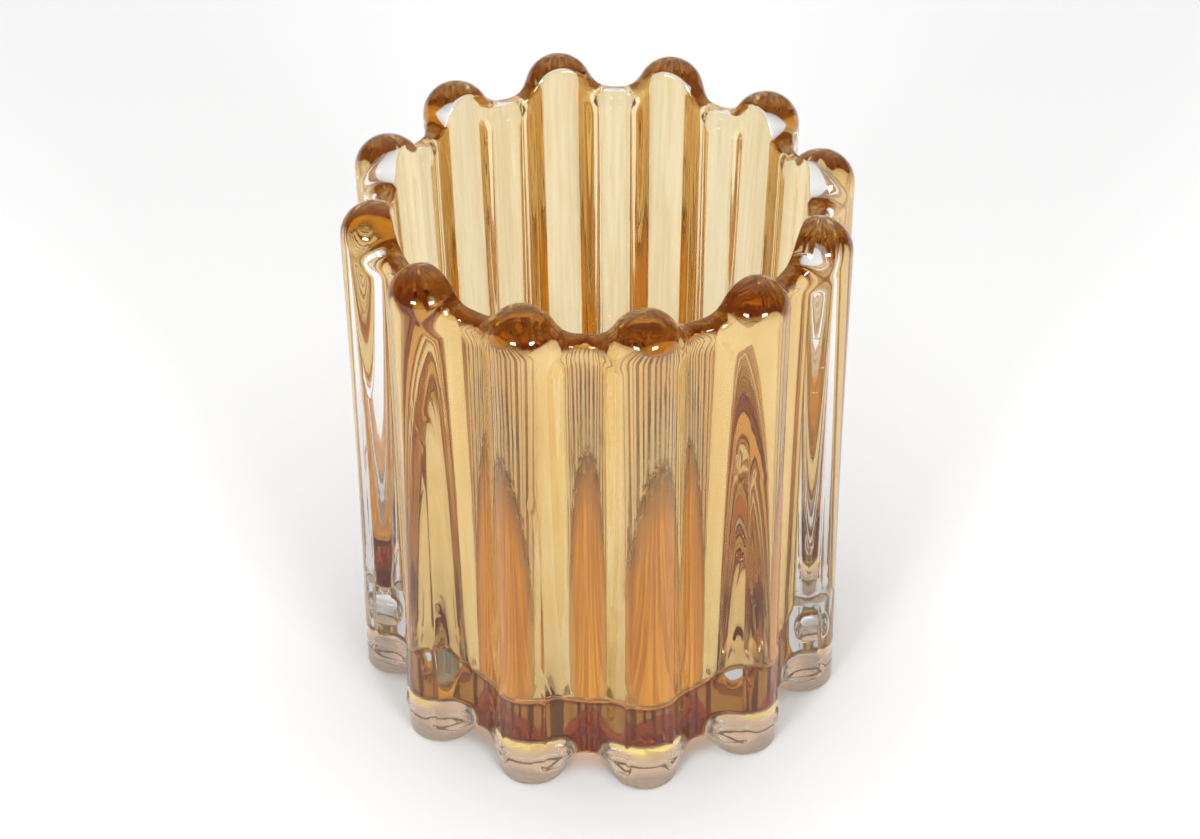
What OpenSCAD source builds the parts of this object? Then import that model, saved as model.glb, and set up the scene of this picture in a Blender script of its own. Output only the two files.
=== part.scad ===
// Tealight holder: one pressed glass cup with round ribs all the way round it.
// Each rib is a rod that ends in a domed knob above the rim and in a flat-ended
// foot below the base. A thin amber layer is fired onto the bore and its floor.
// The origin is the centre of the resting plane and +Z is the cup's axis.

/* [Cup] */
// Height from the table to the top of the knobs
height = 85.5; // [70:0.5:110]
// Bore of the cup at its rim
bore_d = 59.5; // [56:0.5:61.5]
// Bore of the cup at its floor, which the tealight stands on
bore_floor_d = 52; // [50:0.5:54]
// Glass between the bore and the bottom of a valley, at the rim
wall_t = 2.5; // [2:0.1:3.4]
// How far the rim's crest lies below the knob tops
rim_drop = 4.7; // [4:0.1:6]
// Radius of the rim's crest, seen in section
rim_round_r = 3; // [2.5:0.1:5]

/* [Ribs] */
// Number of ribs, each with one knob and one foot
rib_count = 12; // [11:1:13]
// Diameter of a rib
rib_d = 10; // [9.5:0.1:10.4]
// Radius of the circle that the rib centres stand on
rib_circle_r = 32.5; // [32:0.1:33.5]
// Rounding of a foot's edge where it meets the table
foot_round_r = 0.8; // [0.5:0.1:1.5]

/* [Base] */
// Height of the base's underside above the table
foot_h = 3.5; // [3:0.5:7]
// Thickness of the glass base, with the amber layer on it
base_t = 6.5; // [6:0.5:10]
// Rounding between the bore and the cup floor
floor_round_r = 2; // [1:0.25:4]

/* [Amber layer] */
// Thickness of the amber layer
lining_t = 0.4; // [0.3:0.05:0.6]

/* [Hidden] */
$fn = 96;

bore_r = bore_d / 2;
bore_floor_r = bore_floor_d / 2;
rib_r = rib_d / 2;
rib_pitch = 360 / rib_count;
half_pitch = rib_pitch / 2;
valley_floor_r = bore_r + wall_t;
floor_z = foot_h + base_t;
rim_z = height - rim_drop;
dome_z = height - rib_r;
outside_r = rib_circle_r + rib_r;
// Draft of the bore, which narrows from the rim to the floor
draft = atan((bore_r - bore_floor_r) / (rim_z - floor_z));
// Centre of the rounding between the bore and its floor, in section
corner_z = floor_z + floor_round_r;
corner_circle_r = bore_floor_r + floor_round_r * (tan(draft) - 1 / cos(draft));
// Length by which a cutter runs past what it cuts
clear = 1;

// The valley between two ribs is one arc. Its radius comes from the triangle
// of the cup's axis, a rib centre and the valley centre, so that the arc meets
// the ribs without a step. The small bite makes the two rounds cross cleanly.
valley_bite = 0.05;
side_in = valley_floor_r - rib_circle_r * cos(half_pitch);
side_across = rib_circle_r * sin(half_pitch);
valley_r = (pow(side_in, 2) + pow(side_across, 2) - pow(rib_r, 2)) / (2 * (rib_r - side_in));
valley_circle_r = valley_floor_r + valley_r;

// A point at a radius and an angle around the axis
function on_circle(r, angle) = [r * cos(angle), r * sin(angle)];

// Outline of the wall: a star through rib centres and valley centres, with
// each valley cut out of it as a circle
module fluted_outline() {
    difference() {
        polygon([
            for (i = [0 : rib_count - 1], step = [0, 1])
                on_circle(
                    step == 0 ? rib_circle_r : valley_circle_r,
                    i * rib_pitch + step * half_pitch
                )
        ]);
        for (i = [0 : rib_count - 1])
            translate(on_circle(valley_circle_r, i * rib_pitch + half_pitch))
                circle(r = valley_r + valley_bite);
    }
}

// Section of the wall as a solid disc, with the rounded crest of the rim.
// The crest stands nearer the bore than the valleys.
module rim_section() {
    crest_r = bore_r + wall_t / 3;
    translate([0, foot_h]) square([outside_r, rim_z - rim_round_r - foot_h]);
    translate([0, foot_h]) square([crest_r, rim_z - foot_h - rim_round_r / 2]);
    translate([crest_r, rim_z - rim_round_r]) circle(r = rim_round_r);
}

// One rib: foot with a flat to stand on, straight rod and domed knob
module rib() {
    rotate_extrude() {
        translate([0, foot_round_r]) square([rib_r, dome_z - foot_round_r]);
        square([rib_r - foot_round_r, 2 * foot_round_r]);
        translate([rib_r - foot_round_r, foot_round_r]) circle(r = foot_round_r);
        intersection() {
            translate([0, dome_z]) circle(r = rib_r);
            translate([0, dome_z - clear]) square([rib_r, rib_r + 2 * clear]);
        }
    }
}

// The whole outside of the cup as a solid
module outside() {
    intersection() {
        translate([0, 0, foot_h]) linear_extrude(height - foot_h) fluted_outline();
        rotate_extrude() rim_section();
    }
    for (i = [0 : rib_count - 1])
        translate(on_circle(rib_circle_r, i * rib_pitch)) rib();
}

// The space inside the cup, grown outwards by the given thickness. Its wall
// leans outwards by the draft and is tangent to the rounding at the floor.
module bore(grow) {
    corner_r = floor_round_r + grow;
    top_z = height + clear;
    top_r = bore_r + (top_z - rim_z) * tan(draft) + grow / cos(draft);
    rotate_extrude() {
        polygon([
            [0, floor_z - grow],
            [corner_circle_r, floor_z - grow],
            [corner_circle_r + corner_r * cos(draft), corner_z - corner_r * sin(draft)],
            [top_r, top_z],
            [0, top_z]
        ]);
        translate([corner_circle_r, corner_z]) circle(r = corner_r);
    }
}

// Clear pressed glass: ribs, wall, base and feet are one piece
module glass_body() {
    color([0.86, 0.83, 0.8, 0.45]) difference() {
        outside();
        bore(lining_t);
    }
}

// Amber layer on the wall and floor of the bore. Its top edge follows the
// arches of the knobs and the rim between them.
module amber_lining() {
    color([0.87, 0.6, 0.2, 0.7]) difference() {
        intersection() {
            outside();
            bore(lining_t);
        }
        bore(0);
    }
}

glass_body();
amber_lining();
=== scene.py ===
"""Tealight holder: a pressed glass cup with round ribs and an amber layer on its bore.

The cup is described by one distance field, in millimetres: round rods for the
ribs, a fluted wall between them, and the bore cut out of both. A surface net in
cylindrical coordinates turns the field into a mesh whose vertices lie on it, and
the skin of the bore is then split off as the amber layer.
"""

import math

import bpy
import numpy as np
from mathutils import Matrix, Vector


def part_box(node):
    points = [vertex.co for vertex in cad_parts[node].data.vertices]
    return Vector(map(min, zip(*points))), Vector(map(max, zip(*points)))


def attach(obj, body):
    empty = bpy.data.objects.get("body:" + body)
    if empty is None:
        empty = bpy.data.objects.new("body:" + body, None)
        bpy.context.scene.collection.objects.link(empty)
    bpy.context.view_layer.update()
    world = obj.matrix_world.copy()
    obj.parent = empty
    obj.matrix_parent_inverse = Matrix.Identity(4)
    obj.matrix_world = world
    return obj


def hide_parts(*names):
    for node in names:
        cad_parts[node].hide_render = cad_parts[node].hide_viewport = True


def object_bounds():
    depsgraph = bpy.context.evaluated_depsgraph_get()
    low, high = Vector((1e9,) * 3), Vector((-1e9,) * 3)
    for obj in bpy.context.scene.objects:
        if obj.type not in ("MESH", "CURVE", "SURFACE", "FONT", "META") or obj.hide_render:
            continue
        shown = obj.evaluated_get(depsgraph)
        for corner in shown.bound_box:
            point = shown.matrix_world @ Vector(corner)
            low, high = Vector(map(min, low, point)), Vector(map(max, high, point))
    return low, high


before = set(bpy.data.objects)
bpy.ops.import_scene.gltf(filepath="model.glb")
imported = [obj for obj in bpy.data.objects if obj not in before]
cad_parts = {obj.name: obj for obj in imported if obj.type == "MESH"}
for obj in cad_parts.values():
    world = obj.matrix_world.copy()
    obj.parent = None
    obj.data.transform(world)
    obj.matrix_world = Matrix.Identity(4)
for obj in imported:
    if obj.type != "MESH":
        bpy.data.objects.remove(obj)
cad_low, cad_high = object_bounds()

scene = bpy.context.scene
MM = 0.001


def add_object(name, data):
    added = bpy.data.objects.new(name, data)
    scene.collection.objects.link(added)
    return added


# ---------------------------------------------------------------- dimensions
# Driving dimensions, in millimetres. Those that the frame holds come from it.

HEIGHT = (cad_high.z - cad_low.z) / MM
OUTSIDE_R = (cad_high.x - cad_low.x) / 2 / MM
lining_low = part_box("amber_lining")[0]

RIB_COUNT = 12
RIB_R = 5.0
RIB_CIRCLE_R = OUTSIDE_R - RIB_R
RIB_PITCH = 2 * math.pi / RIB_COUNT
DOME_Z = HEIGHT - RIB_R
FOOT_ROUND_R = 0.75

# The amber layer. Glass and layer are drawn a gap apart, so that their faces don't coincide.
LINING_T = 0.4
BOND_GAP = 0.005

# The bore narrows from the rim to its floor, by the mould's draft
RIM_Z = HEIGHT - 4.6
BORE_R = 29.75
BORE_FLOOR_R = 26.0
FLOOR_Z = lining_low[2] / MM + LINING_T
BORE_DRAFT = (BORE_R - BORE_FLOOR_R) / (RIM_Z - FLOOR_Z)
FLOOR_ROUND_R = 2.0
BORE_EDGE_R = 0.5

# The rim in section: a shallow arch about its crest, which starts at the bore
CREST_R = 31.0
CREST_START_R = BORE_R - 0.2
CREST_CURVE = 0.12
RIM_ROUND_R = 2.2

# The arc of a valley between two ribs, and the underside of the base
VALLEY_FLOOR_R = 33.0
VALLEY_R = 3.7
BASE_Z = 3.4
BASE_ROUND_R = 1.4

# Blend between a rib and the wall: close at mid-height, wider at both ends
BLEND_MIDDLE = 1.35
BLEND_END = 2.4
BLEND_REACH = 5.0

# Between the rim and the base the valleys are deeper, most of all near the rim
HOLLOW_TOP = 1.6
HOLLOW_FOOT = 0.1
HOLLOW_REACH = 4.5

# The outside bows inwards a little and draws in towards the feet. The bore doesn't,
# so the effect fades out over this reach inside it.
BOW = 0.3
FOOT_DRAW_IN = 0.25
DRAW_REACH = 10


# ------------------------------------------------------------ distance field

def smooth_step(x):
    x = np.clip(x, 0, 1)
    return x * x * (3 - 2 * x)


def smooth_min(a, b, width):
    """The smaller of two distances, blended where they differ by less than width."""
    mix = np.clip(1 - np.abs(a - b) / width, 0, 1)
    return np.minimum(a, b) - mix * mix * width / 4


def round_max(a, b, radius):
    """The larger of two distances, with the edge between them rounded."""
    u = np.maximum(a + radius, 0)
    v = np.maximum(b + radius, 0)
    return np.minimum(np.maximum(a, b), -radius) + np.hypot(u, v)


def rounded_cylinder(r, depth, radius, corner):
    """A cylinder seen in section: depth is the distance inside its flat end."""
    side = r - (radius - corner)
    end = corner - depth
    outside = np.hypot(np.maximum(side, 0), np.maximum(end, 0))
    return outside + np.minimum(np.maximum(side, end), 0) - corner


def flank():
    """The straight flank that touches a rib and the valley arc beside it.

    Returns its start on the rib, its direction, its outward normal, its length
    and the valley arc's centre, in a frame whose x runs out through the rib.
    """
    reach = VALLEY_FLOOR_R + VALLEY_R
    valley = np.array([reach * math.cos(RIB_PITCH / 2), reach * math.sin(RIB_PITCH / 2)])
    rib = np.array([RIB_CIRCLE_R, 0.0])
    span = math.dist(valley, rib)
    length = math.sqrt(span**2 - (RIB_R + VALLEY_R)**2)
    towards = math.atan2(*(valley - rib)[::-1])
    turn = towards - math.acos((RIB_R + VALLEY_R) / span)
    normal = np.array([math.cos(turn), math.sin(turn)])
    along = np.array([-normal[1], normal[0]])
    return rib + RIB_R * normal, along, normal, length, valley


FLANK_START, FLANK_ALONG, FLANK_NORMAL, FLANK_LENGTH, VALLEY_CENTRE = flank()


def between_ends(z):
    """0 at the rim and the base, 1 where the wall between them is well clear of both."""
    return smooth_step(np.minimum(RIM_Z - z, z - BASE_Z) / HOLLOW_REACH)


def rib_distance(x, y, z):
    """A rod with a domed top and a rounded foot, centred on the rib circle."""
    r = np.hypot(x - RIB_CIRCLE_R, y)
    dome = np.hypot(r, np.maximum(z - DOME_Z, 0)) - RIB_R
    foot = rounded_cylinder(r, z, RIB_R, FOOT_ROUND_R)
    return np.where(z > HEIGHT / 2, dome, foot)


def wall_distance(x, y, r, z):
    """The fluted wall and base as a solid disc, with a crested rim."""
    from_start_x = x - FLANK_START[0]
    from_start_y = y - FLANK_START[1]
    along = from_start_x * FLANK_ALONG[0] + from_start_y * FLANK_ALONG[1]
    straight = from_start_x * FLANK_NORMAL[0] + from_start_y * FLANK_NORMAL[1]
    valley = VALLEY_R - np.hypot(x - VALLEY_CENTRE[0], y - VALLEY_CENTRE[1])
    # the wall ends inside the rib, where its flank starts
    side = np.maximum(np.where(along < FLANK_LENGTH, straight, valley), -along)
    hollow = HOLLOW_FOOT + (HOLLOW_TOP - HOLLOW_FOOT) * z / HEIGHT
    side = side + hollow * between_ends(z)
    from_crest = np.maximum(r, CREST_START_R) - CREST_R
    slope = 2 * CREST_CURVE * from_crest
    rim = (z - RIM_Z + CREST_CURVE * from_crest**2) / np.sqrt(1 + slope**2)
    topped = round_max(side, rim, RIM_ROUND_R)
    return round_max(topped, BASE_Z - z, BASE_ROUND_R)


def bore_distance(r, z):
    """The space inside the cup, which narrows downwards by the mould's draft."""
    drafted = BORE_DRAFT * (RIM_Z - z)
    return rounded_cylinder(r + drafted, z - FLOOR_Z, BORE_R, FLOOR_ROUND_R)


def glass_distance(angle, r, z):
    """The whole cup, glass and amber together: negative inside the glass."""
    bow = BOW * np.sin(math.pi * np.clip(z / HEIGHT, 0, 1))
    drawn_in = FOOT_DRAW_IN * (1 - z / HEIGHT) + bow
    side_r = r + drawn_in * smooth_step((r - BORE_R + DRAW_REACH) / DRAW_REACH)
    folded = np.abs((angle + RIB_PITCH / 2) % RIB_PITCH - RIB_PITCH / 2)
    x = side_r * np.cos(folded)
    y = side_r * np.sin(folded)
    to_end = np.minimum(np.abs(RIM_Z - z), np.abs(z - BASE_Z)) / BLEND_REACH
    width = BLEND_END + (BLEND_MIDDLE - BLEND_END) * smooth_step(to_end)
    outside = smooth_min(rib_distance(x, y, z), wall_distance(x, y, side_r, z), width)
    return round_max(outside, -bore_distance(r, z), BORE_EDGE_R)


# ------------------------------------------------------------- surface net
# Columns of the net over one rib and over one valley, and the share of the rib's
# radius that the rib's columns reach to
RIB_COLUMNS = 27
VALLEY_COLUMNS = 10
RIB_COLUMN_REACH = 0.92

# Rings and levels of the net, as stretches of start, end and step. They are closest
# at the feet, the rounding of the cup floor and the rim. No ring or level lies
# exactly on a flat face of the cup, where the field has no clear change of sign.
CORNER_START_R = BORE_FLOOR_R - FLOOR_ROUND_R - 0.7
CORNER_END_R = BORE_FLOOR_R + 0.6
EDGE_START_R = BORE_R - 0.45
EDGE_END_R = CREST_R + 0.1
NET_RINGS = (
    (0, CORNER_START_R - 3, 4),
    (CORNER_START_R - 3, CORNER_START_R, 1.5),
    (CORNER_START_R, CORNER_END_R, 0.42),
    (CORNER_END_R, EDGE_START_R, 0.9),
    (EDGE_START_R, EDGE_END_R, 0.16),
    (EDGE_END_R, OUTSIDE_R + 0.8, 0.58),
)
FOOT_END_Z = FOOT_ROUND_R + 0.7
BASE_END_Z = BASE_Z + 3.45
CORNER_START_Z = FLOOR_Z - 0.15
CORNER_END_Z = FLOOR_Z + FLOOR_ROUND_R + 1.15
RIM_START_Z = RIM_Z - 2.7
NET_LEVELS = (
    (-0.35, FOOT_END_Z, 0.2),
    (FOOT_END_Z, BASE_END_Z, 0.6),
    (BASE_END_Z, CORNER_START_Z, 1),
    (CORNER_START_Z, CORNER_END_Z, 0.375),
    (CORNER_END_Z, RIM_START_Z - 5, 4.2),
    (RIM_START_Z - 5, RIM_START_Z, 1),
    (RIM_START_Z, HEIGHT + 0.57, 0.39),
)

# How points settle on the surface: rounds, the step that finds the slope, and the
# longest move of one round
SETTLE_ROUNDS = 6
SLOPE_STEP = 1e-4
LONGEST_MOVE = 0.4


def spaced(stretches):
    """Grid positions: each stretch is (start, end, step), and the next takes over there."""
    points = []
    for start, end, step in stretches:
        count = max(1, round((end - start) / step))
        points.extend(start + (end - start) * i / count for i in range(count))
    points.append(stretches[-1][1])
    return np.array(points)


def rib_angles():
    """Angles of the net's columns: close together where a rib meets its valley."""
    half = math.asin(RIB_COLUMN_REACH * RIB_R / (BORE_R + LINING_T))
    across_rib = half * np.sin(np.linspace(-math.pi / 2, math.pi / 2, RIB_COLUMNS))
    across_valley = np.linspace(half, RIB_PITCH - half, VALLEY_COLUMNS + 2)[1:-1]
    one = np.concatenate([across_rib, across_valley])
    return np.concatenate([one + i * RIB_PITCH for i in range(RIB_COUNT)])


def crossing_cells(values, axis, coords):
    """Where the field changes sign between neighbours along one axis."""
    other = np.roll(values, -1, axis)
    crossed = (values < 0) != (other < 0)
    if axis > 0:
        last = [slice(None)] * 3
        last[axis] = -1
        crossed[tuple(last)] = False
    share = values / np.where(crossed, values - other, 1)
    start = coords[axis]
    step = np.append(np.diff(start), start[0] + 2 * math.pi - start[-1] if axis == 0 else 0)
    shape = [1, 1, 1]
    shape[axis] = -1
    place = start.reshape(shape) + share * step.reshape(shape)
    return crossed, place


def surface_net(field, angles, radii, heights):
    """Vertices (angle, r, z) and faces of the surface where the field is zero."""
    coords = (angles, radii, heights)
    values = field(angles[:, None, None], radii[None, :, None], heights[None, None, :])
    shape = values.shape
    sums = [np.zeros(shape) for _ in range(3)]
    hits = np.zeros(shape)
    crossings = []
    for axis in range(3):
        crossed, place = crossing_cells(values, axis, coords)
        crossings.append(crossed)
        side_axes = [a for a in range(3) if a != axis]
        for back in ((0, 0), (0, 1), (1, 0), (1, 1)):
            shift = tuple(-b for b in back)
            hit = np.roll(crossed, shift, side_axes)
            hits += hit
            sums[axis] += np.where(hit, np.roll(place, shift, side_axes), 0)
            for side, b in zip(side_axes, back):
                grid = coords[side]
                if side == 0 and b:
                    grid = np.append(grid[1:], grid[0] + 2 * math.pi)
                elif b:
                    grid = np.append(grid[1:], grid[-1])
                flat = [1, 1, 1]
                flat[side] = -1
                sums[side] += np.where(hit, grid.reshape(flat), 0)
    places = [s / np.maximum(hits, 1) for s in sums]
    used = hits > 0
    used[:, -1] = False
    used[:, :, -1] = False
    # round the axis, the innermost ring of cells shares one vertex
    used[1:, 0] = False
    places[1][:, 0] = 0
    return values, crossings, places, used


def net_faces(values, crossings, used):
    """One face round each grid edge that the surface crosses, wound to face outwards."""
    number = np.full(used.shape, -1)
    number[used] = np.arange(np.count_nonzero(used))
    number[:, 0] = number[:1, 0]
    faces = []
    for axis in range(3):
        u, v = (axis + 1) % 3, (axis + 2) % 3
        cells = np.argwhere(crossings[axis])
        corners = []
        for du, dv in ((0, 0), (1, 0), (1, 1), (0, 1)):
            cell = cells.copy()
            cell[:, u] -= du
            cell[:, v] -= dv
            cell[:, 0] %= used.shape[0]
            corners.append(number[tuple(cell.T)])
        quad = np.stack(corners, 1)
        leaving = values[tuple(cells.T)] < 0
        quad[leaving] = quad[leaving, ::-1]
        faces.append(quad[quad.min(1) >= 0])
    return np.concatenate(faces)


def settle(points):
    """Moves points onto the surface, and returns them with the outward normals."""
    for _ in range(SETTLE_ROUNDS):
        value = cup_field(points)
        slope = field_slope(points)
        size = np.maximum((slope**2).sum(1), 1e-6)
        move = slope * (value / size)[:, None]
        length = np.linalg.norm(move, axis=1, keepdims=True)
        points = points - move * np.minimum(1, LONGEST_MOVE / np.maximum(length, 1e-9))
    slope = field_slope(points)
    return points, slope / np.linalg.norm(slope, axis=1, keepdims=True)


def cup_field(points):
    """The cup's field at points in space."""
    angle = np.arctan2(points[:, 1], points[:, 0])
    return glass_distance(angle, np.hypot(points[:, 0], points[:, 1]), points[:, 2])


def field_slope(points):
    """The field's slope along x, y and z."""
    slope = np.empty_like(points)
    for axis in range(3):
        ahead, behind = points.copy(), points.copy()
        ahead[:, axis] += SLOPE_STEP
        behind[:, axis] -= SLOPE_STEP
        slope[:, axis] = (cup_field(ahead) - cup_field(behind)) / (2 * SLOPE_STEP)
    return slope


def cup_surface():
    """Vertices, normals and faces of the whole cup, in millimetres."""
    radii, heights = spaced(NET_RINGS), spaced(NET_LEVELS)
    values, crossings, places, used = surface_net(glass_distance, rib_angles(), radii, heights)
    angle, r, z = (p[used] for p in places)
    faces = net_faces(values, crossings, used)
    points = np.stack([r * np.cos(angle), r * np.sin(angle), z], 1)
    points, normals = settle(points)
    return points, normals, faces


# ---------------------------------------------------------------- pieces
# The amber layer ends on the rounding of the bore's edge, this share of its radius
# outside the bore. It takes in faces down to this far below the cup floor.
FILM_EDGE_SHARE = 0.6
FILM_MARGIN_Z = 0.1


def film_faces(points, faces):
    """Marks the faces of the bore's wall and floor, up to the rounding of its edge."""
    r = np.hypot(points[:, 0], points[:, 1]) + BORE_DRAFT * (RIM_Z - points[:, 2])
    above_floor = points[:, 2] > FLOOR_Z - FILM_MARGIN_Z
    on_bore = (r < BORE_R + FILM_EDGE_SHARE * BORE_EDGE_R) & above_floor
    return on_bore[faces].all(1)


def mesh_piece(name, points, normals, faces, materials, slots):
    """A smooth mesh from its used vertices only. slots holds each face's material."""
    used, flat = np.unique(faces, return_inverse=True)
    faces = flat.reshape(faces.shape)
    polygons = [list(dict.fromkeys(face)) for face in faces.tolist()]
    mesh = bpy.data.meshes.new(name)
    mesh.from_pydata((points[used] * MM).tolist(), [], polygons)
    for material in materials:
        mesh.materials.append(material)
    mesh.polygons.foreach_set("material_index", slots)
    mesh.shade_smooth()
    mesh.normals_split_custom_set_from_vertices(normals[used].tolist())
    piece = add_object(name, mesh)
    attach(piece, "root")
    return piece


def build_pieces(glass, amber, glass_bond, layer_bond):
    """The glass and the amber layer, which share their edge and face each other at the bond."""
    points, normals, faces = cup_surface()
    film = film_faces(points, faces)
    edge = np.intersect1d(faces[film], faces[~film])
    inner = np.setdiff1d(faces[film], edge)

    # the back of the layer: the film's vertices, moved into the glass
    behind = np.arange(len(points))
    behind[inner] = len(points) + np.arange(len(inner))
    back = points[inner] - normals[inner] * LINING_T
    all_points = np.concatenate([points, back])
    bonded = behind[faces[film]]

    body_normals = np.concatenate([normals, normals[inner]])
    body_faces = np.concatenate([faces[~film], bonded])
    body_slots = np.repeat([0, 1], [np.count_nonzero(~film), len(bonded)])
    cleared = np.concatenate([points, back - normals[inner] * BOND_GAP])
    body = mesh_piece(
        "glass_cup", cleared, body_normals, body_faces, [glass, glass_bond], body_slots
    )
    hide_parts("glass_body")

    layer_normals = np.concatenate([normals, -normals[inner]])
    layer_faces = np.concatenate([faces[film], bonded[:, ::-1]])
    layer_slots = np.repeat([0, 1], len(bonded))
    layer = mesh_piece(
        "amber_layer", all_points, layer_normals, layer_faces, [amber, layer_bond], layer_slots
    )
    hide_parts("amber_lining")


# -------------------------------------------------------------- materials
# Lengths in the calls below are millimetres

GLASS_IOR = 1.54

# The feet are ground: rough up to the first height, clear from the second on
GROUND_Z = 0.7
GROUND_END_Z = 1.2
GROUND_ROUGHNESS = 0.3

# Noise at which a score of the plunger starts and is full
SCORE_START, SCORE_FULL = 0.56, 0.7

# Tint of the amber layer on the wall, where it is thinnest and thickest, and the
# sum of two noises at which it is so
AMBER_THIN = (0.905, 0.78, 0.515)
AMBER_THICK = (0.855, 0.69, 0.395)
THIN_SUM, THICK_SUM = 0.75, 1.25
# The coat has run down and gathered on the floor of the bore
AMBER_GATHERED = (0.79, 0.51, 0.18)


def new_material(name):
    material = bpy.data.materials.new(name)
    material.use_nodes = True
    nodes = material.node_tree.nodes
    nodes.clear()
    return material, nodes, material.node_tree.links


def put_on_surface(nodes, links, shader):
    output = nodes.new("ShaderNodeOutputMaterial")
    links.new(shader.outputs[0], output.inputs["Surface"])


def object_place(nodes):
    """Places on the object, in metres."""
    return nodes.new("ShaderNodeTexCoord").outputs["Object"]


def math_node(nodes, links, operation, a, b=None):
    """A math node's result. a and b are sockets or plain numbers."""
    result = nodes.new("ShaderNodeMath")
    result.operation = operation
    for socket, value in zip(result.inputs, (a, b)):
        if isinstance(value, (int, float)):
            socket.default_value = value
        elif value:
            links.new(value, socket)
    return result.outputs[0]


def map_range(nodes, links, value, low, high, to_low, to_high):
    """Eases from to_low to to_high as the value goes from low to high."""
    mapped = nodes.new("ShaderNodeMapRange")
    mapped.interpolation_type = "SMOOTHSTEP"
    mapped.inputs["From Min"].default_value = low
    mapped.inputs["From Max"].default_value = high
    mapped.inputs["To Min"].default_value = to_low
    mapped.inputs["To Max"].default_value = to_high
    links.new(value, mapped.inputs["Value"])
    return mapped.outputs[0]


def mix_colors(nodes, links, share, a, b):
    """Colour a where share is 0 and b where it is 1. Each is a colour or a socket."""
    mixed = nodes.new("ShaderNodeMix")
    mixed.data_type = "RGBA"
    for socket, color in ((mixed.inputs["A"], a), (mixed.inputs["B"], b)):
        if isinstance(color, tuple):
            socket.default_value = (*color, 1)
        else:
            links.new(color, socket)
    links.new(share, mixed.inputs["Factor"])
    return mixed.outputs["Result"]


def noise_texture(nodes, links, place, detail):
    texture = nodes.new("ShaderNodeTexNoise")
    texture.inputs["Scale"].default_value = 1
    texture.inputs["Detail"].default_value = detail
    links.new(place, texture.inputs["Vector"])
    return texture.outputs["Fac"]


def noise(nodes, links, across, along, detail=2.0):
    """Noise whose grain is that wide across the cup's axis and that long along it."""
    stretch = nodes.new("ShaderNodeMapping")
    wide, tall = 1 / (across * MM), 1 / (along * MM)
    stretch.inputs["Scale"].default_value = (wide, wide, tall)
    links.new(object_place(nodes), stretch.inputs["Vector"])
    return noise_texture(nodes, links, stretch.outputs[0], detail)


def seeds(nodes, links, spacing, radius, share):
    """Small round spots, such as bubbles leave. Only that share of the cells has one."""
    cells = nodes.new("ShaderNodeTexVoronoi")
    cells.inputs["Scale"].default_value = 1 / (spacing * MM)
    links.new(object_place(nodes), cells.inputs["Vector"])
    spot = map_range(nodes, links, cells.outputs["Distance"], 0, radius / spacing, 1, 0)
    random = nodes.new("ShaderNodeSeparateColor")
    links.new(cells.outputs["Color"], random.inputs[0])
    chosen = math_node(nodes, links, "LESS_THAN", random.outputs[0], share)
    return math_node(nodes, links, "MULTIPLY", spot, chosen)


def bump(nodes, links, height, depth, under=None):
    """Adds relief of that depth on top of the relief under it."""
    relief = nodes.new("ShaderNodeBump")
    relief.inputs["Strength"].default_value = 1
    relief.inputs["Distance"].default_value = depth * MM
    links.new(height, relief.inputs["Height"])
    if under:
        links.new(under, relief.inputs["Normal"])
    return relief.outputs[0]


def height_fade(nodes, links, full_z, none_z):
    """1 up to full_z and 0 from none_z on, as heights above the table."""
    split = nodes.new("ShaderNodeSeparateXYZ")
    links.new(object_place(nodes), split.inputs[0])
    return map_range(nodes, links, split.outputs["Z"], full_z * MM, none_z * MM, 1, 0)


def glass_shader(nodes, links):
    shader = nodes.new("ShaderNodeBsdfPrincipled")
    shader.inputs["Base Color"].default_value = (1, 1, 1, 1)
    shader.inputs["Roughness"].default_value = 0
    shader.inputs["IOR"].default_value = GLASS_IOR
    shader.inputs["Transmission Weight"].default_value = 1
    put_on_surface(nodes, links, shader)
    return shader


def clear_glass():
    """Fire-polished glass: slow ripples, fine drag lines, a few seeds, and ground feet."""
    material, nodes, links = new_material("clear_glass")
    shader = glass_shader(nodes, links)
    ripples = noise(nodes, links, across=7, along=16)
    drag_lines = noise(nodes, links, across=0.9, along=30)
    bubbles = seeds(nodes, links, spacing=3.5, radius=0.22, share=0.25)
    ground = height_fade(nodes, links, GROUND_Z, GROUND_END_Z)
    grain = noise(nodes, links, across=0.5, along=0.5, detail=4)
    ground_grain = math_node(nodes, links, "MULTIPLY", grain, ground)
    relief = bump(nodes, links, ripples, depth=0.003)
    relief = bump(nodes, links, drag_lines, depth=0.0012, under=relief)
    relief = bump(nodes, links, bubbles, depth=0.02, under=relief)
    relief = bump(nodes, links, ground_grain, depth=0.02, under=relief)
    links.new(relief, shader.inputs["Normal"])
    roughness = math_node(nodes, links, "MULTIPLY", ground, GROUND_ROUGHNESS)
    links.new(roughness, shader.inputs["Roughness"])
    return material


def amber_glass():
    """The layer's own face: ripples, scores from the plunger, faint grain and a few seeds."""
    material, nodes, links = new_material("amber_glass")
    shader = glass_shader(nodes, links)
    ripples = noise(nodes, links, across=6, along=20)
    lines = noise(nodes, links, across=0.7, along=45, detail=1)
    scores = map_range(nodes, links, lines, SCORE_START, SCORE_FULL, 0, 1)
    grain = noise(nodes, links, across=0.5, along=2, detail=3)
    bubbles = seeds(nodes, links, spacing=3, radius=0.2, share=0.2)
    relief = bump(nodes, links, ripples, depth=0.003)
    relief = bump(nodes, links, scores, depth=0.003, under=relief)
    relief = bump(nodes, links, grain, depth=0.0002, under=relief)
    relief = bump(nodes, links, bubbles, depth=0.015, under=relief)
    links.new(relief, shader.inputs["Normal"])
    return material


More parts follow.
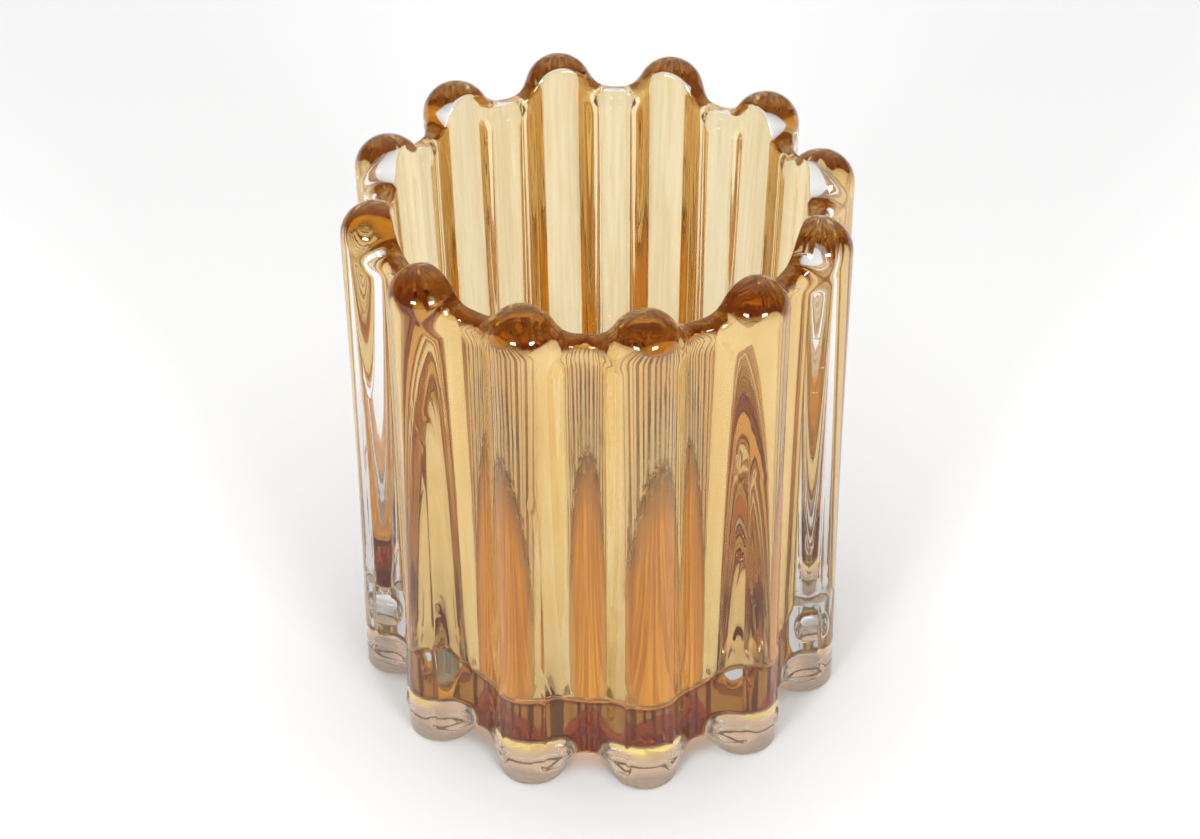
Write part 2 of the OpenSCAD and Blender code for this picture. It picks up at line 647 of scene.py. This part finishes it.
def bond_material(name):
    """One side of the bond. There is no air there, so light goes straight through."""
    material, nodes, links = new_material(name)
    shader = nodes.new("ShaderNodeBsdfTransparent")
    shader.inputs["Color"].default_value = (1, 1, 1, 1)
    put_on_surface(nodes, links, shader)
    return material, nodes, links, shader


def clear_bond():
    """The glass's side of the bond, which leaves light as it is."""
    return bond_material("clear_bond")[0]


def amber_bond():
    """The layer's side of the bond, which tints light as a coat of uneven thickness does."""
    material, nodes, links, shader = bond_material("amber_bond")
    clouds = noise(nodes, links, across=14, along=70)
    streaks = noise(nodes, links, across=0.6, along=60, detail=3)
    uneven = math_node(nodes, links, "ADD", clouds, streaks)
    thickness = map_range(nodes, links, uneven, THIN_SUM, THICK_SUM, 0, 1)
    wall_tint = mix_colors(nodes, links, thickness, AMBER_THIN, AMBER_THICK)
    low_down = height_fade(nodes, links, FLOOR_Z, FLOOR_Z + FLOOR_ROUND_R)
    tint = mix_colors(nodes, links, low_down, wall_tint, AMBER_GATHERED)
    links.new(tint, shader.inputs["Color"])
    return material


# ------------------------------------------------------- camera and studio
# The camera's distance and the height that it looks at, on the cup's axis
CAMERA_DISTANCE = 15.97 * RIB_CIRCLE_R * MM
AIM_Z = 1.287 * RIB_CIRCLE_R * MM
AIM_SIDE = -0.2 * MM
CAMERA_AZIMUTH = math.radians(-10.81)
CAMERA_ELEVATION = math.radians(38.63)
CAMERA_ROLL = math.radians(-0.38)
CAMERA_NEAR = 0.01
LENS_MM = 103.8
SENSOR_MM = 36

# Surroundings, with a soft glow that starts and is full at these cosines of the
# angle from its middle
WORLD_DARK = 0.12
WORLD_GLOW = 0.55
WORLD_GLOW_ELEVATION = math.radians(38)
WORLD_GLOW_START, WORLD_GLOW_FULL = 0.55, 0.95

# Lights, in metres and watts
OVERHEAD_SIZE = 1.6
OVERHEAD_HEIGHT = 1.3
OVERHEAD_POWER = 17
SOFTBOX_ASIDE = math.radians(30)
SOFTBOX_ELEVATION = math.radians(18)
SOFTBOX_DISTANCE = 1.0
SOFTBOX_WIDTH, SOFTBOX_HEIGHT = 0.3, 0.15
SOFTBOX_POWER = 5

# The floor's half width in metres. Its colour is darkened under the cup and between
# its feet by the cup's own warm shade, which fades out between these radii.
FLOOR_HALF = 1.5
FLOOR_WHITE = (0.9, 0.9, 0.9)
FLOOR_SHADED = (0.6, 0.35, 0.25)
SHADE_INNER_R = 28
SHADE_OUTER_R = 33.5

# Light that the cup gathers and tints on the floor under it, which the renderer
# can't find through glass. It is full at the inner radius and gone at the outer.
GLOW_INNER_R = 27
GLOW_OUTER_R = 33
GLOW_BROWN = (0.54, 0.33, 0.065)
GLOW_GOLDEN = (0.98, 0.78, 0.20)
# Towards its rim the glow turns paler, because less of it has crossed the amber layer
GLOW_PALE = (0.42, 0.33, 0.23)
PALE_INNER_R = 19
PALE_OUTER_R = 28

# Golden streaks in the glow, which fall through the flutes from the front: their
# width and length, the noise at which one starts and is full, and how golden it is
STREAK_ACROSS = 2.4
STREAK_ALONG = 50
STREAK_START, STREAK_FULL = 0.42, 0.6
STREAK_GOLD = 0.85
# Gold added at the front and taken away at the back, and how far behind the axis
# each of the two lies
FRONT_GOLD, BACK_GOLD = 0.2, -0.1
FRONT_Y, BACK_Y = -15, 25

# Light that a rib pipes down to the floor under its foot
FOOT_GLOW = (0.17, 0.11, 0.07)
FOOT_GLOW_INNER_R = 3.6
FOOT_GLOW_OUTER_R = 4.6

# Light crosses many faces inside the glass before it leaves
GLASS_BOUNCES = 48
DIFFUSE_BOUNCES = 3


def direction(azimuth, elevation):
    """Unit vector towards a place at that azimuth, where 0 is the -Y side, and elevation."""
    return Vector((
        math.sin(azimuth) * math.cos(elevation),
        -math.cos(azimuth) * math.cos(elevation),
        math.sin(elevation),
    ))


def make_camera():
    camera = bpy.data.cameras.new("camera")
    camera.lens = LENS_MM
    camera.sensor_width = SENSOR_MM
    camera.clip_start = CAMERA_NEAR
    holder = add_object("camera", camera)
    back = direction(CAMERA_AZIMUTH, CAMERA_ELEVATION)
    roll = Matrix.Rotation(CAMERA_ROLL, 3, "Z")
    turn = (-back).to_track_quat("-Z", "Y").to_matrix() @ roll
    holder.rotation_mode = "QUATERNION"
    holder.rotation_quaternion = turn.to_quaternion()
    aside = Vector((math.cos(CAMERA_AZIMUTH), math.sin(CAMERA_AZIMUTH), 0)) * AIM_SIDE
    holder.location = Vector((0, 0, AIM_Z)) + back * CAMERA_DISTANCE + aside
    scene.camera = holder


def make_world():
    """Dim surroundings with one soft glow, high up behind the cup."""
    world = bpy.data.worlds.new("studio")
    world.use_nodes = True
    nodes, links = world.node_tree.nodes, world.node_tree.links
    background = nodes["Background"]
    place = nodes.new("ShaderNodeTexCoord")
    facing = nodes.new("ShaderNodeVectorMath")
    facing.operation = "DOT_PRODUCT"
    facing.inputs[1].default_value = direction(CAMERA_AZIMUTH + math.pi, WORLD_GLOW_ELEVATION)
    links.new(place.outputs["Generated"], facing.inputs[0])
    strength = map_range(
        nodes, links, facing.outputs["Value"],
        WORLD_GLOW_START, WORLD_GLOW_FULL, WORLD_DARK, WORLD_GLOW,
    )
    links.new(strength, background.inputs["Strength"])
    background.inputs["Color"].default_value = (1, 1, 1, 1)
    scene.world = world


def area_light(name, width, height, power):
    light = bpy.data.lights.new(name, "AREA")
    light.shape = "RECTANGLE"
    light.size, light.size_y = width, height
    light.energy = power
    return add_object(name, light)


def overhead_light():
    """A wide soft light on the floor. The glass doesn't mirror it, as if it were masked off."""
    holder = area_light("overhead_softbox", OVERHEAD_SIZE, OVERHEAD_SIZE, OVERHEAD_POWER)
    holder.location = (0, 0, OVERHEAD_HEIGHT)
    holder.visible_glossy = False
    holder.visible_transmission = False


def softbox(name, azimuth):
    """A small soft light in front of the cup, turned towards it."""
    holder = area_light(name, SOFTBOX_WIDTH, SOFTBOX_HEIGHT, SOFTBOX_POWER)
    towards = direction(azimuth, SOFTBOX_ELEVATION)
    holder.rotation_mode = "QUATERNION"
    holder.rotation_quaternion = towards.to_track_quat("Z", "Y")
    holder.location = towards * SOFTBOX_DISTANCE + Vector((0, 0, AIM_Z))


def from_axis(nodes, links, place):
    """Distance of a place on the floor from the cup's axis."""
    distance = nodes.new("ShaderNodeVectorMath")
    distance.operation = "LENGTH"
    links.new(place, distance.inputs[0])
    return distance.outputs["Value"]


def golden_share(nodes, links, place):
    """Streaks that run away from the camera's side, more golden at the front."""
    turned = nodes.new("ShaderNodeMapping")
    turned.vector_type = "TEXTURE"
    turned.inputs["Rotation"].default_value = (0, 0, CAMERA_AZIMUTH)
    turned.inputs["Scale"].default_value = (STREAK_ACROSS * MM, STREAK_ALONG * MM, 1)
    split = nodes.new("ShaderNodeSeparateXYZ")
    links.new(place, turned.inputs["Vector"])
    links.new(turned.outputs[0], split.inputs[0])
    texture = noise_texture(nodes, links, turned.outputs[0], detail=3)
    streaks = map_range(nodes, links, texture, STREAK_START, STREAK_FULL, 0, STREAK_GOLD)
    # turned places are counted in streak widths and lengths
    to_front = map_range(
        nodes, links, split.outputs["Y"],
        FRONT_Y / STREAK_ALONG, BACK_Y / STREAK_ALONG, FRONT_GOLD, BACK_GOLD,
    )
    return math_node(nodes, links, "ADD", streaks, to_front)


def foot_share(nodes, links, place, radius):
    """1 on the floor under each foot, 0 away from the feet."""
    split = nodes.new("ShaderNodeSeparateXYZ")
    links.new(place, split.inputs[0])
    angle = math_node(nodes, links, "ARCTAN2", split.outputs["Y"], split.outputs["X"])
    folded = math_node(nodes, links, "PINGPONG", angle, RIB_PITCH / 2)
    from_rib = math_node(nodes, links, "MULTIPLY", folded, radius)
    from_circle = math_node(nodes, links, "SUBTRACT", radius, RIB_CIRCLE_R * MM)
    squares = [
        math_node(nodes, links, "POWER", math_node(nodes, links, "ABSOLUTE", side), 2)
        for side in (from_rib, from_circle)
    ]
    away = math_node(nodes, links, "SQRT", math_node(nodes, links, "ADD", *squares))
    return map_range(nodes, links, away, FOOT_GLOW_INNER_R * MM, FOOT_GLOW_OUTER_R * MM, 1, 0)


def add_shaders(nodes, links, a, b):
    both = nodes.new("ShaderNodeAddShader")
    links.new(a.outputs[0], both.inputs[0])
    links.new(b.outputs[0], both.inputs[1])
    return both


def floor_material():
    """Pale floor, with the shade and the glow that the cup casts on it."""
    material, nodes, links = new_material("pale_floor")
    place = object_place(nodes)
    radius = from_axis(nodes, links, place)

    def fading(inner, outer):
        return map_range(nodes, links, radius, inner * MM, outer * MM, 1, 0)

    floor = nodes.new("ShaderNodeBsdfDiffuse")
    shade = fading(SHADE_INNER_R, SHADE_OUTER_R)
    links.new(mix_colors(nodes, links, shade, FLOOR_WHITE, FLOOR_SHADED), floor.inputs["Color"])

    glow = nodes.new("ShaderNodeEmission")
    share = golden_share(nodes, links, place)
    golden = mix_colors(nodes, links, share, GLOW_BROWN, GLOW_GOLDEN)
    inside = fading(PALE_INNER_R, PALE_OUTER_R)
    links.new(mix_colors(nodes, links, inside, GLOW_PALE, golden), glow.inputs["Color"])
    links.new(fading(GLOW_INNER_R, GLOW_OUTER_R), glow.inputs["Strength"])

    foot_glow = nodes.new("ShaderNodeEmission")
    foot_glow.inputs["Color"].default_value = (*FOOT_GLOW, 1)
    links.new(foot_share(nodes, links, place, radius), foot_glow.inputs["Strength"])

    glows = add_shaders(nodes, links, glow, foot_glow)
    put_on_surface(nodes, links, add_shaders(nodes, links, floor, glows))
    material.cycles.emission_sampling = "NONE"
    return material


def make_floor():
    mesh = bpy.data.meshes.new("floor")
    h = FLOOR_HALF
    mesh.from_pydata([(-h, -h, 0), (h, -h, 0), (h, h, 0), (-h, h, 0)], [], [(0, 1, 2, 3)])
    mesh.materials.append(floor_material())
    add_object("floor", mesh)


def make_studio():
    make_world()
    make_floor()
    overhead_light()
    softbox("left_softbox", CAMERA_AZIMUTH - SOFTBOX_ASIDE)
    softbox("right_softbox", CAMERA_AZIMUTH + SOFTBOX_ASIDE)


scene.view_settings.view_transform = "Standard"
scene.cycles.max_bounces = GLASS_BOUNCES
scene.cycles.transmission_bounces = GLASS_BOUNCES
scene.cycles.glossy_bounces = GLASS_BOUNCES
scene.cycles.diffuse_bounces = DIFFUSE_BOUNCES
scene.cycles.transparent_max_bounces = 2 * GLASS_BOUNCES
scene.cycles.use_denoising = True

make_camera()
make_studio()
build_pieces(clear_glass(), amber_glass(), clear_bond(), amber_bond())
